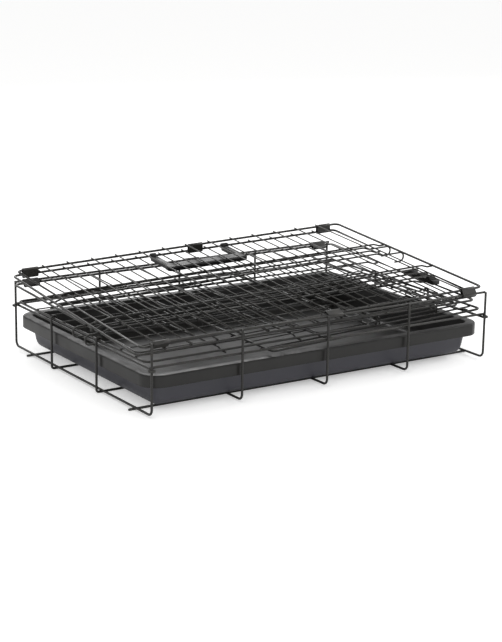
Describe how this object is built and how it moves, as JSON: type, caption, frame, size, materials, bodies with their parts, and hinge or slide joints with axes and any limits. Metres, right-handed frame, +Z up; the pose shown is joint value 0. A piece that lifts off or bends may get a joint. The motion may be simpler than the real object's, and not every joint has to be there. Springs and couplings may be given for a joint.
{
  "type": "folding wire pet crate",
  "caption": "Wire pet crate folded flat into its base tray, with plastic pan, side, top and end panels, hinge clips, door and carry handle.",
  "frame": {"origin": "on the floor under the middle of the object's box", "axes": "+X along the crate to the right, +Y to its rear, +Z up"},
  "size_m": [0.6978, 0.453, 0.1557],
  "materials": {
    "black_wire": "satin black coating",
    "black_clip": "satin black coating over folded sheet",
    "pan_plastic": "fine grained moulding",
    "handle_plastic": "satin"
  },
  "bodies": {
    "base": {"base_cross_wires": "black_wire", "base_floor_wires": "black_wire", "base_end_wires": "black_wire", "base_front_rail": "black_wire", "base_rear_rail": "black_wire", "base_side_rails": "black_wire", "base_end_rails": "black_wire"},
    "pan": {"pan": "pan_plastic"},
    "front_side": {"front_side_frame": "black_wire", "front_side_rails": "black_wire", "front_side_grid": "black_wire", "front_hinge_clips": "black_clip"},
    "top_panel": {"top_frame": "black_wire", "top_rails": "black_wire", "top_grid": "black_wire", "top_hook_wires": "black_wire", "top_hinge_clips": "black_clip"},
    "carry_handle": {"carry_handle": "handle_plastic"},
    "rear_side": {"rear_side_frame": "black_wire", "rear_side_rails": "black_wire", "rear_side_grid": "black_wire", "rear_hinge_clips": "black_clip", "rear_side_grip": "handle_plastic"},
    "left_end": {"left_end_frame": "black_wire", "left_end_rails": "black_wire", "left_end_grid": "black_wire"},
    "right_end": {"right_end_frame": "black_wire", "right_end_rails": "black_wire", "right_end_jambs": "black_wire", "right_end_grid": "black_wire", "bolt_keepers": "black_wire"},
    "door": {"door_frame": "black_wire", "door_rails": "black_wire", "door_grid": "black_wire", "door_hinge_clips": "black_clip", "door_bolt_plates": "black_clip"},
    "lower_slide_bolt": {"lower_slide_bolt": "black_wire"},
    "upper_slide_bolt": {"upper_slide_bolt": "black_wire"}
  },
  "joints": [
    {"name": "front_side_fold", "type": "hinge", "parent": "base", "child": "front_side", "pos_m": [0.0055, -0.21668, 0.11332], "axis": [1, 0, 0], "range_deg": [0, 86]},
    {"name": "top_panel_fold", "type": "hinge", "parent": "front_side", "child": "top_panel", "pos_m": [-0.00275, 0.18744, 0.14546], "axis": [0.9998, 0, 0.0218], "range_deg": [0, 0.6]},
    {"name": "carry_handle_swing", "type": "hinge", "parent": "top_panel", "child": "carry_handle", "pos_m": [0.00393, 0.18744, 0.13717], "axis": [0.9998, 0, 0.0175], "range_deg": [0, 10]},
    {"name": "rear_side_fold", "type": "hinge", "parent": "base", "child": "rear_side", "pos_m": [0.0055, 0.21668, 0.11332], "axis": [-1, 0, 0], "range_deg": [0, 0.5]},
    {"name": "left_end_fold", "type": "hinge", "parent": "base", "child": "left_end", "pos_m": [-0.3077, 0, 0.0832], "axis": [0, -1, 0], "range_deg": [0, 0.3]},
    {"name": "right_end_fold", "type": "hinge", "parent": "base", "child": "right_end", "pos_m": [0.3187, 0, 0.0832], "axis": [0, 1, 0], "range_deg": [-0.3, 0.15]},
    {"name": "door_swing", "type": "hinge", "parent": "right_end", "child": "door", "pos_m": [0.15394, 0.074, 0.07374], "axis": [-0.9993, 0, -0.0366], "range_deg": [0, 0.09]},
    {"name": "lower_bolt_slide", "type": "slide", "parent": "door", "child": "lower_slide_bolt", "axis": [0, 1, 0], "range_m": [0, 0.016]},
    {"name": "upper_bolt_slide", "type": "slide", "parent": "door", "child": "upper_slide_bolt", "axis": [0, 1, 0], "range_m": [0, 0.016]},
    {"name": "pan_lift", "type": "slide", "parent": "base", "child": "pan", "axis": [0, 0, 1], "range_m": [0, 0.002]}
  ]
}
